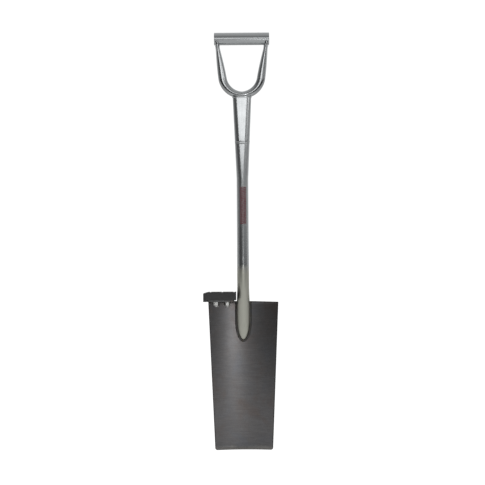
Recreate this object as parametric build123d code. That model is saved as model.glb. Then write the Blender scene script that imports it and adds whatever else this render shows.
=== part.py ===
from build123d import *
import os
from math import asin, atan, ceil, copysign, cos, degrees, pi, radians, sin, sqrt, tan

# All-steel nursery spade, upright. The origin is the centre of the grip tube,
# +X to the right of the person who looks at the blade's front, +Y to the
# back, +Z up the shaft. Millimetres.

# Overall
OVERALL_HEIGHT = 1063.5
BLADE_HEIGHT = 381.0

# Grip: the round cross tube
GRIP_OD = 31.75
GRIP_LENGTH = 139.7
TUBE_WALL = 2.4
GRIP_PLUG_DEPTH = 5.0
GRIP_PLUG_CROWN = 1.2

# Yoke: one tube bent to a U
YOKE_RADIUS = 49.5
YOKE_ARM_SLOPE = 0.1542
YOKE_BOTTOM_Z = -142.1
YOKE_BOTTOM_SECTION = (17.3, 24.3)
YOKE_SHOULDER_SECTION = (21.8, 21.2)
YOKE_NECK_SECTION = (12.2, 27.0)
YOKE_NECK_Z = -27.0
YOKE_ARC_STEPS = 4
ARM_WELD_REACH = 21.0
ARM_WELD_GROWTH = 9.0

# Socket and the flare at the shaft's top, one straight taper
FLARE_BOTTOM_Z = -354.6
SOCKET_SEAM_Z = -264.6
SOCKET_TOP_Z = -142.6
SOCKET_TOP_WIDTH = 48.2
SOCKET_TOP_DEPTH = 27.0
SOCKET_SQUARENESS = 3.4
SEAM_WIDTH = 5.0
SEAM_PROUD = 0.5
YOKE_WELD_LEG = 3.0
YOKE_WELD_REACH = 16.0

# Shaft
SHAFT_OD = 30.2
OVAL_WIDTH = 33.4
OVAL_DEPTH = 25.4
SCARF_LENGTH = 100.0
TONGUE_TIP_Z = -766.6
BEND_RADIUS = 160.0
OVAL_RUN = 50.0
TONGUE_WELD_LEG = 5.0
TONGUE_WELD_HEIGHT = 4.5
SQUARED_POINTS = 16

# Decal on the front of the shaft
DECAL_TOP_Z = -371.6
DECAL_LENGTH = 103.0
DECAL_ARC = 74.0
DECAL_THICKNESS = 0.12

# Blade
BLADE_SETBACK = 28.0
BLADE_THICKNESS = 4.76
BLADE_DISH_RADIUS = 334.0
BLADE_TOP_HALF = 89.5
BLADE_BOTTOM_HALF = 73.75
BLADE_SHOULDER_DROP = 2.0
BLADE_CORNER_RADIUS = 5.5
BEVEL_HEIGHT = 8.0
EDGE_THICKNESS = 1.2

# Tread plate on the blade's left shoulder
TREAD_LEFT = -91.5
TREAD_RIGHT = -22.6
TREAD_FRONT = -12.5
TREAD_BACK = 35.5
TREAD_THICKNESS = 4.0
TREAD_CORNER = 4.0
TREAD_WELD_LEG = 4.0
TREAD_WELD_ENDS = (-84.0, -32.0)

# Rubber foot cushion
CUSHION_LEFT = -101.5
CUSHION_RIGHT = -18.0
CUSHION_HEIGHT = 20.0
CUSHION_OVERHANG = 1.2
CUSHION_CHAMFER = (12.0, 3.5)
CUSHION_EDGE_RADIUS = 2.0
CUSHION_RIB_PITCH = 6.0
CUSHION_RIB_DEPTH = 1.2
CUSHION_RIB_WIDTH = 2.4

# Fasteners, M8
BOLT_X = (-68.3, -40.5)
BOLT_Y = 8.5
BOLT_OD = 8.0
BOLT_HOLE = 8.6
HEX_AF = 13.0
HEAD_HEIGHT = 5.3
HEX_CHAMFER = 0.7
BOLT_TIP_OUT = 2.2
WASHER_OD = 16.0
WASHER_THICKNESS = 1.6
WASHER_HOLE = 8.4
COUNTERBORE_OD = 21.0
COUNTERBORE_DEPTH = 10.0
NUT_HEIGHT = 8.0
NUT_COLLAR_HEIGHT = 2.2
NUT_COLLAR_OD = 11.6
INSERT_OD = 10.0
INSERT_HEIGHT = 2.0

# Worked out from the sizes above
EDGE_Z = GRIP_OD / 2 - OVERALL_HEIGHT
BLADE_TOP_Z = EDGE_Z + BLADE_HEIGHT
DISH_AXIS_Y = BLADE_SETBACK - BLADE_DISH_RADIUS
BEND_ANGLE = degrees(asin(OVAL_DEPTH / SCARF_LENGTH))
TREAD_TOP_Z = BLADE_TOP_Z + TREAD_THICKNESS
CUSHION_TOP_Z = TREAD_TOP_Z + CUSHION_HEIGHT
SEAT_Z = CUSHION_TOP_Z - COUNTERBORE_DEPTH
NUT_TOP_Z = BLADE_TOP_Z - WASHER_THICKNESS


def oval(width, depth):
    """Face of an oval tube section in XY."""
    if width == depth:
        return Circle(width / 2)
    return Ellipse(width / 2, depth / 2)


def squared_oval(width, depth, power):
    """Face of an oval with flatter sides the higher the power."""
    points = []
    for step in range(SQUARED_POINTS):
        angle = 2 * pi * step / SQUARED_POINTS
        across = copysign(abs(cos(angle)) ** (2 / power), cos(angle))
        along = copysign(abs(sin(angle)) ** (2 / power), sin(angle))
        points.append((across * width / 2, along * depth / 2))
    return make_face(Spline(*points, periodic=True))


def disc_ring(outer, inner, height):
    """Flat ring that stands on XY."""
    return extrude(Circle(outer / 2) - Circle(inner / 2), amount=height)


def on_each_bolt(solid):
    """The same solid at both bolts, as separate solids."""
    return [Pos(x, BOLT_Y, 0) * solid for x in BOLT_X]


# Grip


def grip_tube():
    ring = Circle(GRIP_OD / 2) - Circle(GRIP_OD / 2 - TUBE_WALL)
    tube = Rot(0, 90, 0) * extrude(ring, amount=GRIP_LENGTH / 2, both=True)
    ends = tube.edges().filter_by(GeomType.CIRCLE).sort_by(SortBy.RADIUS)[-2:]
    return fillet(ends, TUBE_WALL / 3)


def grip_plug(side):
    """Domed disc set into one end of the grip, side is -1 or 1."""
    radius = GRIP_OD / 2 - TUBE_WALL
    plug = extrude(Circle(radius), amount=GRIP_PLUG_DEPTH)
    plug = chamfer(plug.edges().group_by(Axis.Z)[-1], GRIP_PLUG_CROWN, radius / 3)
    inner_end = GRIP_LENGTH / 2 - GRIP_PLUG_DEPTH
    return Rot(0, 90 * side, 0) * Pos(0, 0, inner_end) * plug


# Yoke


def arc_station(turn):
    """Plane across the U's arc; turn runs from 0, left, to pi, right."""
    centre_z = YOKE_BOTTOM_Z + YOKE_RADIUS
    return Plane(
        origin=(-YOKE_RADIUS * cos(turn), 0, centre_z - YOKE_RADIUS * sin(turn)),
        x_dir=(cos(turn), 0, sin(turn)),
        z_dir=(sin(turn), 0, -cos(turn)),
    )


def yoke_arc(inset):
    """The round part of the U, thinner in the middle than at the shoulders."""
    lean = atan(YOKE_ARM_SLOPE)
    faces = []
    for step in range(-YOKE_ARC_STEPS, YOKE_ARC_STEPS + 1):
        side = abs(step) / YOKE_ARC_STEPS
        width, depth = (
            low + (high - low) * (1 - (1 - side) ** 2)
            for low, high in zip(YOKE_BOTTOM_SECTION, YOKE_SHOULDER_SECTION)
        )
        turn = pi / 2 + (pi / 2 - lean) * step / YOKE_ARC_STEPS
        faces.append(arc_station(turn) * oval(width - 2 * inset, depth - 2 * inset))
    return loft(faces)


def arm_centre(z):
    """Distance of an arm's centre line from the middle, at a height."""
    lean = atan(YOKE_ARM_SLOPE)
    shoulder_z = YOKE_BOTTOM_Z + YOKE_RADIUS * (1 - sin(lean))
    return YOKE_RADIUS * cos(lean) + (z - shoulder_z) * YOKE_ARM_SLOPE


def yoke_arm(inset):
    """The left arm: oval at the shoulder, pinched flat at the neck."""
    lean = atan(YOKE_ARM_SLOPE)
    shoulder = arc_station(lean)
    neck = Plane(
        origin=(-arm_centre(YOKE_NECK_Z), 0, YOKE_NECK_Z),
        x_dir=shoulder.x_dir,
        z_dir=shoulder.z_dir,
    )
    low, high = (
        plane * oval(section[0] - 2 * inset, section[1] - 2 * inset)
        for plane, section in (
            (shoulder, YOKE_SHOULDER_SECTION),
            (neck, YOKE_NECK_SECTION),
        )
    )
    return loft([low, high]) + extrude(high, amount=YOKE_NECK_Z, dir=shoulder.z_dir)


def grip_envelope():
    return Rot(0, 90, 0) * Cylinder(GRIP_OD / 2, GRIP_LENGTH + 40)


def yoke():
    arm = yoke_arm(0) - yoke_arm(TUBE_WALL) - grip_envelope()
    arc = yoke_arc(0) - yoke_arc(TUBE_WALL)
    return arc + arm + mirror(arm, Plane.YZ)


def arm_collar(side):
    """Weld metal that flares from one arm to the grip, side is -1 or 1."""
    width, depth = YOKE_NECK_SECTION
    foot_x = arm_centre(-ARM_WELD_REACH)
    top = Plane((-arm_centre(0), 0, 0)) * oval(width + ARM_WELD_GROWTH, depth + 2)
    foot = Plane((-foot_x, 0, -ARM_WELD_REACH)) * oval(width + 0.6, depth + 0.2)
    inside = Pos(0, 0, -GRIP_OD / 2) * Box(GRIP_LENGTH, 60, GRIP_OD)
    collar = (loft([foot, top]) & inside) - grip_envelope() - yoke_arm(0)
    collar = collar.solids().sort_by(SortBy.VOLUME)[-1]
    return collar if side < 0 else mirror(collar, Plane.YZ)


# Socket and shaft


def taper_body(inset, low, high):
    """Stretch of the straight taper from the round shaft to the wide socket top."""
    end_width = SOCKET_TOP_WIDTH - 2 * inset
    end_depth = SOCKET_TOP_DEPTH - 2 * inset
    foot = Pos(0, 0, FLARE_BOTTOM_Z) * Circle(SHAFT_OD / 2 - inset)
    top = Pos(0, 0, SOCKET_TOP_Z) * squared_oval(end_width, end_depth, SOCKET_SQUARENESS)
    whole = loft([foot, top])
    if low == FLARE_BOTTOM_Z and high == SOCKET_TOP_Z:
        return whole
    return whole & Pos(0, 0, low) * Box(
        100, 100, high - low, align=(Align.CENTER, Align.CENTER, Align.MIN)
    )


def handle_socket():
    skin = taper_body(0, SOCKET_SEAM_Z, SOCKET_TOP_Z)
    hollow = taper_body(TUBE_WALL, SOCKET_SEAM_Z, SOCKET_TOP_Z)
    cut = (skin - hollow) - yoke_arc(0)
    return cut.solids().sort_by(SortBy.VOLUME)[-1]


def socket_weld():
    """Dressed bead round the butt joint of shaft and socket."""
    low = SOCKET_SEAM_Z - SEAM_WIDTH / 2
    high = SOCKET_SEAM_Z + SEAM_WIDTH / 2
    return taper_body(-SEAM_PROUD, low, high) - taper_body(0, low, high)


def yoke_weld():
    """Fillet between the U's underside and the socket's coped rim."""
    foot_z = SOCKET_TOP_Z - YOKE_WELD_REACH
    foot = taper_body(-0.3, foot_z, foot_z + 1).faces().sort_by(Axis.Z)[0]
    top = taper_body(-YOKE_WELD_LEG, foot_z, SOCKET_TOP_Z).faces().sort_by(Axis.Z)[-1]
    flare = loft([foot, top]) - taper_body(0, SOCKET_SEAM_Z, SOCKET_TOP_Z)
    return flare - yoke_arc(0)


def bend_corner_z():
    """Height where the upright axis and the leaning axis cross."""
    lean = radians(BEND_ANGLE)
    tip_axis_y = BLADE_SETBACK + OVAL_DEPTH / 2 * cos(lean)
    tip_axis_z = TONGUE_TIP_Z + OVAL_DEPTH / 2 * sin(lean)
    return tip_axis_z + tip_axis_y / tan(lean)


def shaft_body(inset):
    """Shaft from the seam to well below the scarf, its skin moved in by inset."""
    lean = radians(BEND_ANGLE)
    half_bend = BEND_RADIUS * tan(lean / 2)
    bend_top_z = bend_corner_z() + half_bend
    round_face = oval(SHAFT_OD - 2 * inset, SHAFT_OD - 2 * inset)
    top = taper_body(inset, FLARE_BOTTOM_Z, SOCKET_SEAM_Z)
    straight = Pos(0, 0, bend_top_z) * extrude(
        round_face, amount=FLARE_BOTTOM_Z - bend_top_z
    )
    bend_axis = Axis((0, BEND_RADIUS, bend_top_z), (1, 0, 0))
    bend = revolve(Pos(0, 0, bend_top_z) * round_face, bend_axis, BEND_ANGLE)
    bend_end = Plane(
        origin=(0, half_bend * sin(lean), bend_corner_z() - half_bend * cos(lean)),
        x_dir=(1, 0, 0),
        z_dir=(0, sin(lean), -cos(lean)),
    )
    oval_face = oval(OVAL_WIDTH - 2 * inset, OVAL_DEPTH - 2 * inset)
    flattening = bend_end * loft([round_face, Pos(0, 0, OVAL_RUN) * oval_face])
    tongue = bend_end * Pos(0, 0, OVAL_RUN) * extrude(oval_face, amount=1.5 * SCARF_LENGTH)
    return top + straight + bend + flattening + tongue


def dish_cylinder(radius, low, high):
    """Upright cylinder about the dish's axis."""
    return Pos(0, DISH_AXIS_Y, low) * Cylinder(
        radius, high - low, align=(Align.CENTER, Align.CENTER, Align.MIN)
    )


def scarf_cutter():
    """Everything behind the blade's front surface."""
    low = EDGE_Z
    high = bend_corner_z()
    block = Pos(0, BLADE_SETBACK, low) * Box(
        150, 120, high - low, align=(Align.CENTER, Align.CENTER, Align.MIN)
    )
    return block - dish_cylinder(BLADE_DISH_RADIUS, low, high)


def shaft_tube():
    tube = shaft_body(0) - shaft_body(TUBE_WALL) - scarf_cutter()
    return tube.solids().sort_by(SortBy.VOLUME)[-1]


def tongue_weld():
    """Fillet that follows the scarf's outline on the blade."""
    lean = radians(BEND_ANGLE)
    middle_z = TONGUE_TIP_Z + SCARF_LENGTH / 2
    rise = TONGUE_WELD_HEIGHT / tan(lean)
    leg = TONGUE_WELD_LEG
    outline = (OVAL_WIDTH + 2 * leg, SCARF_LENGTH + 2 * leg)
    crest = (OVAL_WIDTH + 0.6, SCARF_LENGTH + 0.6)
    facing = Plane(
        origin=(0, BLADE_SETBACK + 1, middle_z), x_dir=(1, 0, 0), z_dir=(0, -1, 0)
    )
    base = facing * oval(*outline)
    ridge = facing * Pos(0, rise, TONGUE_WELD_HEIGHT + 1) * oval(*crest)
    bead = loft([base, ridge])
    below_top = Pos(0, 0, BLADE_TOP_Z) * Box(
        200, 200, 400, align=(Align.CENTER, Align.CENTER, Align.MAX)
    )
    bead = (bead & below_top) - scarf_cutter() - shaft_body(0)
    return bead.solids().sort_by(SortBy.VOLUME)[-1]


def shaft_decal():
    """Thin curved film on the front of the straight tube."""
    radius = SHAFT_OD / 2
    edge = Plane.XZ * Pos(-radius - DECAL_THICKNESS / 2, DECAL_TOP_Z - DECAL_LENGTH / 2)
    strip = edge * Rectangle(DECAL_THICKNESS, DECAL_LENGTH)
    film = revolve(strip, Axis.Z, DECAL_ARC)
    return Rot(0, 0, 90 - DECAL_ARC / 2) * film


# Blade


def blade_outline():
    """Front view of the blade, drawn in XZ."""
    shoulder_z = BLADE_TOP_Z - BLADE_SHOULDER_DROP
    corners = [
        (-BLADE_BOTTOM_HALF, EDGE_Z),
        (BLADE_BOTTOM_HALF, EDGE_Z),
        (BLADE_TOP_HALF, shoulder_z),
        (0, BLADE_TOP_Z),
        (-BLADE_TOP_HALF, BLADE_TOP_Z),
    ]
    outline = make_face(Plane.XZ * Polyline(*corners, close=True))
    bottom = outline.vertices().group_by(Axis.Z)[0]
    return fillet(bottom, BLADE_CORNER_RADIUS)


def blade():
    inner = BLADE_DISH_RADIUS
    outer = inner + BLADE_THICKNESS
    section = [
        (outer, EDGE_Z),
        (outer, BLADE_TOP_Z + 1),
        (inner, BLADE_TOP_Z + 1),
        (inner, EDGE_Z + BEVEL_HEIGHT),
        (outer - EDGE_THICKNESS, EDGE_Z),
    ]
    sweep_angle = 2 * degrees(asin((BLADE_TOP_HALF + 5) / inner))
    plate = revolve(
        make_face(Plane.XZ * Polyline(*section, close=True)), Axis.Z, sweep_angle
    )
    plate = Pos(0, DISH_AXIS_Y, 0) * Rot(0, 0, 90 - sweep_angle / 2) * plate
    return plate & extrude(blade_outline(), amount=100, both=True)


# Tread


def tread_plate():
    width = TREAD_RIGHT - TREAD_LEFT
    depth = TREAD_BACK - TREAD_FRONT
    face = Pos((TREAD_LEFT + TREAD_RIGHT) / 2, (TREAD_FRONT + TREAD_BACK) / 2) * (
        RectangleRounded(width, depth, TREAD_CORNER)
    )
    plate = Pos(0, 0, BLADE_TOP_Z) * extrude(face, amount=TREAD_THICKNESS)
    for hole in on_each_bolt(Cylinder(BOLT_HOLE / 2, 2000)):
        plate -= hole
    return plate


def tread_welds():
    """Two fillet beads under the tread, in front of and behind the blade."""
    leg = TREAD_WELD_LEG
    inner = BLADE_DISH_RADIUS
    outer = inner + BLADE_THICKNESS
    first, last = (degrees(asin(x / inner)) for x in TREAD_WELD_ENDS)
    beads = []
    for wall, toe in ((inner, inner - leg), (outer, outer + leg)):
        corners = [(wall, BLADE_TOP_Z), (toe, BLADE_TOP_Z), (wall, BLADE_TOP_Z - leg)]
        section = make_face(Plane.XZ * Polyline(*corners, close=True))
        bead = revolve(section, Axis.Z, last - first)
        beads.append(Pos(0, DISH_AXIS_Y, 0) * Rot(0, 0, 90 - last) * bead)
    return beads


def foot_cushion():
    """Rubber block with a ribbed top, a sloped outer end and bolt pockets."""
    front = TREAD_FRONT - CUSHION_OVERHANG
    depth = TREAD_BACK + CUSHION_OVERHANG - front
    slope_run, slope_drop = CUSHION_CHAMFER
    lip_x = TREAD_LEFT - 0.4
    corners = [
        (CUSHION_LEFT, BLADE_TOP_Z),
        (lip_x, BLADE_TOP_Z),
        (lip_x, TREAD_TOP_Z),
        (CUSHION_RIGHT, TREAD_TOP_Z),
        (CUSHION_RIGHT, CUSHION_TOP_Z),
        (CUSHION_LEFT + slope_run, CUSHION_TOP_Z),
        (CUSHION_LEFT, CUSHION_TOP_Z - slope_drop),
    ]
    side = make_face(Plane.XZ * Polyline(*corners, close=True))
    block = Pos(0, front, 0) * extrude(side, amount=-depth)
    uprights = block.edges().filter_by(Axis.Z)
    outer_uprights = uprights.group_by(Axis.X)[0] + uprights.group_by(Axis.X)[-1]
    block = fillet(outer_uprights, CUSHION_EDGE_RADIUS)
    block -= cushion_grooves(front, depth)
    for pocket in on_each_bolt(Pos(0, 0, SEAT_Z) * Cylinder(
        COUNTERBORE_OD / 2, 40, align=(Align.CENTER, Align.CENTER, Align.MIN)
    )):
        block -= pocket
    for hole in on_each_bolt(Cylinder(BOLT_HOLE / 2, 2000)):
        block -= hole
    return block


def cushion_grooves(front, depth):
    """Cross grooves in the top between the bolt pockets and the ends."""
    first = CUSHION_LEFT + CUSHION_CHAMFER[0] + CUSHION_RIB_PITCH
    count = ceil((CUSHION_RIGHT - first - CUSHION_RIB_PITCH / 2) / CUSHION_RIB_PITCH)
    grooves = []
    for step in range(count):
        x = first + step * CUSHION_RIB_PITCH
        if min(abs(x - bolt_x) for bolt_x in BOLT_X) < COUNTERBORE_OD / 2 + 2:
            continue
        groove = Box(CUSHION_RIB_WIDTH, depth + 10, 2 * CUSHION_RIB_DEPTH)
        grooves.append(Pos(x, front + depth / 2, CUSHION_TOP_Z) * groove)
    return grooves


# Fasteners


def hex_prism(height):
    """Hexagon with its outer corners turned off, standing on XY."""
    prism = extrude(RegularPolygon(HEX_AF / 2, 6, major_radius=False), amount=height)
    turned = extrude(Circle(HEX_AF / sqrt(3)), amount=height)
    rims = turned.edges().filter_by(GeomType.CIRCLE)
    return prism & chamfer(rims, HEX_CHAMFER)


def cushion_bolts():
    head_z = SEAT_Z + WASHER_THICKNESS
    tip_z = NUT_TOP_Z - NUT_HEIGHT - NUT_COLLAR_HEIGHT - BOLT_TIP_OUT
    shank = extrude(Circle(BOLT_OD / 2), amount=head_z - tip_z)
    shank = chamfer(shank.edges().group_by(Axis.Z)[0], 1)
    bolt = Pos(0, 0, tip_z) * shank + Pos(0, 0, head_z) * hex_prism(HEAD_HEIGHT)
    return on_each_bolt(bolt)


def cushion_washers():
    ring = disc_ring(WASHER_OD, WASHER_HOLE, WASHER_THICKNESS)
    return on_each_bolt(Pos(0, 0, SEAT_Z) * ring)


def tread_washers():
    ring = disc_ring(WASHER_OD, WASHER_HOLE, WASHER_THICKNESS)
    return on_each_bolt(Pos(0, 0, NUT_TOP_Z) * ring)


def lock_nuts():
    """Hexagon nuts with a round collar below that holds the nylon ring."""
    collar_z = NUT_TOP_Z - NUT_HEIGHT - NUT_COLLAR_HEIGHT
    collar = extrude(Circle(NUT_COLLAR_OD / 2), amount=NUT_COLLAR_HEIGHT)
    collar = chamfer(collar.edges().group_by(Axis.Z)[0], NUT_COLLAR_HEIGHT / 3)
    nut = Pos(0, 0, NUT_TOP_Z - NUT_HEIGHT) * hex_prism(NUT_HEIGHT)
    nut += Pos(0, 0, collar_z) * collar
    nut -= Cylinder(BOLT_OD / 2, 2000)
    seat_z = collar_z + NUT_COLLAR_HEIGHT - INSERT_HEIGHT
    nut -= Pos(0, 0, seat_z) * extrude(Circle(INSERT_OD / 2), amount=INSERT_HEIGHT)
    return on_each_bolt(nut)


def nut_inserts():
    seat_z = NUT_TOP_Z - NUT_HEIGHT - INSERT_HEIGHT
    ring = disc_ring(INSERT_OD, BOLT_OD, INSERT_HEIGHT)
    return on_each_bolt(Pos(0, 0, seat_z) * ring)


def save(name, shape):
    """One STEP file for a node that is a solid or a list of solids."""
    solids = []
    for item in shape if isinstance(shape, list) else [shape]:
        solids += item.solids()
    whole = solids[0] if len(solids) == 1 else Compound(solids)
    export_step(whole, f"parts/{name}.step")


os.makedirs("parts", exist_ok=True)
save("grip_tube", grip_tube())
save("left_grip_plug", grip_plug(-1))
save("right_grip_plug", grip_plug(1))
save("left_grip_weld", arm_collar(-1))
save("right_grip_weld", arm_collar(1))
save("yoke", yoke())
save("yoke_weld", yoke_weld())
save("handle_socket", handle_socket())
save("socket_weld", socket_weld())
save("shaft_tube", shaft_tube())
save("shaft_decal", shaft_decal())
save("tongue_weld", tongue_weld())
save("blade", blade())
save("tread_plate", tread_plate())
save("tread_welds", tread_welds())
save("foot_cushion", foot_cushion())
save("cushion_bolts", cushion_bolts())
save("cushion_washers", cushion_washers())
save("tread_washers", tread_washers())
save("lock_nuts", lock_nuts())
save("nut_inserts", nut_inserts())
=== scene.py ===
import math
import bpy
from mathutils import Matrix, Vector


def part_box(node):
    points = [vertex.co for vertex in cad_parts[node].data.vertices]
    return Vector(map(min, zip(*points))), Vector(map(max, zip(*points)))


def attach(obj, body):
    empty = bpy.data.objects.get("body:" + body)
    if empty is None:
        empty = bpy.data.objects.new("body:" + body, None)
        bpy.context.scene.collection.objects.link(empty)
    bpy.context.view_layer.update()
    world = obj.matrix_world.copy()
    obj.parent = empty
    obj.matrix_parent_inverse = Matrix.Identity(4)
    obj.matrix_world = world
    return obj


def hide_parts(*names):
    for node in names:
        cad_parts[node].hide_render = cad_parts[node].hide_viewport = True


bl_info = {
    "name": "Nursery Spade Finishes",
    "version": (1, 0, 0),
    "blender": (4, 5, 0),
    "location": "View3D > Sidebar > Spade",
    "description": "Finished look of an all-steel nursery spade around its frame",
    "category": "Object",
}

import bmesh
import bpy
from bpy.props import FloatProperty, FloatVectorProperty, PointerProperty
from mathutils import Matrix, Vector, noise

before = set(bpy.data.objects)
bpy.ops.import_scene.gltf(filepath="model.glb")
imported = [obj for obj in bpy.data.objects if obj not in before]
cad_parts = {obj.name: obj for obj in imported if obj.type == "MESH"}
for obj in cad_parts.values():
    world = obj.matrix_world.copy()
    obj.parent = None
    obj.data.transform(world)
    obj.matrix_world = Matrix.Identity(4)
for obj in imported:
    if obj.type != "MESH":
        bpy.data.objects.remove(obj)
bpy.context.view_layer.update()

MM = 0.001
BODY = "root"
UP = Vector((0, 0, 1))
FORWARD = Vector((0, -1, 0))

# Places and sizes read from the frame, in metres
GRIP_LOW, GRIP_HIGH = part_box("grip_tube")
YOKE_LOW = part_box("yoke")[0]
SOCKET_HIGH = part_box("handle_socket")[1]
SHAFT_LOW, SHAFT_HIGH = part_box("shaft_tube")
BLADE_LOW, BLADE_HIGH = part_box("blade")
CUSHION_LOW, CUSHION_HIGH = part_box("foot_cushion")
DECAL_LOW, DECAL_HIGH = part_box("shaft_decal")

GRIP_RADIUS = (GRIP_HIGH.z - GRIP_LOW.z) / 2
SHAFT_RADIUS = -SHAFT_LOW.y
SEAM_Z = SHAFT_HIGH.z
EDGE_Z = BLADE_LOW.z
BLADE_TOP_Z = BLADE_HIGH.z
TIP_Z = SHAFT_LOW.z

# The yoke's and the tubes' own curves, which a box can't give
YOKE_RADIUS = 49.5 * MM
YOKE_SLOPE = 0.1542
YOKE_LEAN = math.atan(YOKE_SLOPE)
YOKE_BOTTOM = (8.65 * MM, 12.15 * MM)
YOKE_SHOULDER = (10.9 * MM, 10.6 * MM)
YOKE_NECK = (6.1 * MM, 13.5 * MM)
YOKE_BOTTOM_Z = YOKE_LOW.z + YOKE_BOTTOM[0]
YOKE_CENTRE_Z = YOKE_BOTTOM_Z + YOKE_RADIUS
YOKE_SHOULDER_Z = YOKE_BOTTOM_Z + YOKE_RADIUS * (1 - math.sin(YOKE_LEAN))
YOKE_NECK_Z = -27 * MM
FLARE_BOTTOM_Z = SEAM_Z - 90 * MM
SOCKET_TOP_HALF = (24.1 * MM, 13.5 * MM)
SOCKET_POWER = 3.4
OVAL_HALF = (16.7 * MM, 12.7 * MM)
SCARF_LENGTH = 100 * MM
BEND_RADIUS = 160 * MM
OVAL_RUN = 50 * MM
DISH_RADIUS = 334 * MM
BLADE_THICKNESS = 4.76 * MM
BLADE_FACE_Y = BLADE_HIGH.y - BLADE_THICKNESS
BLADE_TOP_HALF = BLADE_HIGH.x
BLADE_BOTTOM_HALF = 73.75 * MM
BLADE_SHOULDER_DROP = 2 * MM
BLADE_CORNER_RADIUS = 5.5 * MM
BEVEL_HEIGHT = 8 * MM
EDGE_THICKNESS = 1.2 * MM
TUBE_SIDES = 96
LIGHTS_Y = -3.05

# Grey of the front wall from far left (0) to far right (1)
FRONT_WALL = (
    (0.0, 0.28),
    (0.06, 0.13),
    (0.14, 0.10),
    (0.28, 0.15),
    (0.44, 0.20),
    (0.6, 0.34),
    (0.8, 0.38),
    (0.94, 0.38),
    (1.0, 0.42),
)


# Settings that a user would change


def color_setting(name, description, default):
    return FloatVectorProperty(
        name=name, description=description, subtype="COLOR", default=default
    )


def length_setting(name, description, default):
    return FloatProperty(
        name=name, description=description, unit="LENGTH", default=default
    )


class SpadeTubeSettings(bpy.types.PropertyGroup):
    """Bright steel tube."""

    color: color_setting("Steel", "Colour of the polished tube", (0.60, 0.62, 0.63))
    grip_color: color_setting(
        "Grip steel", "Colour of the grip tube", (0.56, 0.58, 0.59)
    )
    heat_color: color_setting(
        "Heated steel",
        "Colour of the tube where it was heated near the blade",
        (0.56, 0.565, 0.50),
    )
    seam_proud: length_setting(
        "Seam height", "How far the dressed seam stands above the tube", 0.07 * MM
    )


class SpadeBladeSettings(bpy.types.PropertyGroup):
    """Heat-treated blade."""

    color: color_setting(
        "Scale", "Colour of the heat-treated plate", (0.17, 0.166, 0.168)
    )
    warm_color: color_setting(
        "Warm scale", "Colour of the browner patches", (0.165, 0.148, 0.142)
    )
    bare_color: color_setting(
        "Bare steel", "Colour of ground and worn steel", (0.30, 0.29, 0.28)
    )
    edge_round: length_setting(
        "Edge rounding", "Width of the rounding along the plate's edges", 0.7 * MM
    )


class SpadeWeldSettings(bpy.types.PropertyGroup):
    """Weld beads."""

    color: color_setting("Weld", "Colour of the raw bead", (0.10, 0.097, 0.092))
    ripple: length_setting(
        "Ripple pitch", "Distance from one ripple to the next", 2.4 * MM
    )
    ripple_height: length_setting("Ripple height", "Height of the ripples", 0.28 * MM)


class SpadeTreadSettings(bpy.types.PropertyGroup):
    """Foot tread, cushion and fasteners."""

    rubber_color: color_setting(
        "Rubber", "Colour of the foot cushion", (0.048, 0.048, 0.049)
    )
    zinc_color: color_setting(
        "Zinc", "Colour of the plated fasteners", (0.86, 0.86, 0.84)
    )
    plate_color: color_setting(
        "Tread steel", "Colour of the tread plate", (0.14, 0.14, 0.14)
    )
    print_color: color_setting(
        "Print", "Colour of the pattern on the shaft film", (0.19, 0.05, 0.062)
    )
    rubber_round: length_setting(
        "Rubber rounding", "Width of the rounding along the cushion's edges", 1.2 * MM
    )


class SpadeStageSettings(bpy.types.PropertyGroup):
    """Camera, lights and floor."""

    distance: length_setting(
        "Camera distance", "From the camera to the blade's face", 3.0
    )
    framed_height: length_setting(
        "Framed height", "Height that the picture covers at the blade", 1.2424
    )
    eye_height: length_setting(
        "Eye height", "Height of the camera above the cutting edge", 0.5308
    )
    roll: FloatProperty(
        name="Roll",
        description="Turn of the camera about its own axis",
        subtype="ANGLE",
        default=math.radians(-0.38),
    )
    key_strength: FloatProperty(
        name="Low light",
        description="Brightness of the low light beside the camera",
        default=8.5,
    )
    strip_strength: FloatProperty(
        name="Strip light",
        description="Brightness of the wide light above the camera",
        default=1.1,
    )


# Mesh helpers


def add_piece(name, mesh, replaces=()):
    """A piece of the spade that rides on its only body."""
    piece = bpy.data.objects.new(name, mesh)
    bpy.context.scene.collection.objects.link(piece)
    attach(piece, BODY)
    if replaces:
        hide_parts(*replaces)
    return piece


def section_point(angle, half_width, half_depth, power=2.0):
    """Point of an oval; power 2 is a true oval, more is squarer."""
    c, s = math.cos(angle), math.sin(angle)
    x = math.copysign(abs(c) ** (2 / power), c) * half_width
    y = math.copysign(abs(s) ** (2 / power), s) * half_depth
    return x, y


def ring(centre, across, half_width, half_depth, power=2.0, sides=TUBE_SIDES):
    """Points of one tube section whose depth runs along the spade's depth."""
    points = []
    axis = across.cross(Vector((0, 1, 0)))
    depth = axis.cross(across).normalized()
    for step in range(sides):
        x, y = section_point(2 * math.pi * step / sides, half_width, half_depth, power)
        points.append(centre + across * x + depth * y)
    return points


def skin(name, rings, loop=False):
    """Mesh over a row of rings: capped at its ends, or joined end to end."""
    mesh = bpy.data.meshes.new(name)
    bm = bmesh.new()
    rows = [[bm.verts.new(point) for point in points] for points in rings]
    sides = len(rows[0])
    pairs = list(zip(rows, rows[1:]))
    if loop:
        pairs.append((rows[-1], rows[0]))
    for low, high in pairs:
        for i in range(sides):
            j = (i + 1) % sides
            bm.faces.new((low[i], low[j], high[j], high[i]))
    if not loop:
        bm.faces.new(rows[0][::-1])
        bm.faces.new(rows[-1])
    bmesh.ops.recalc_face_normals(bm, faces=bm.faces)
    for face in bm.faces:
        face.smooth = len(face.verts) == 4
    bm.to_mesh(mesh)
    bm.free()
    return mesh


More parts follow.
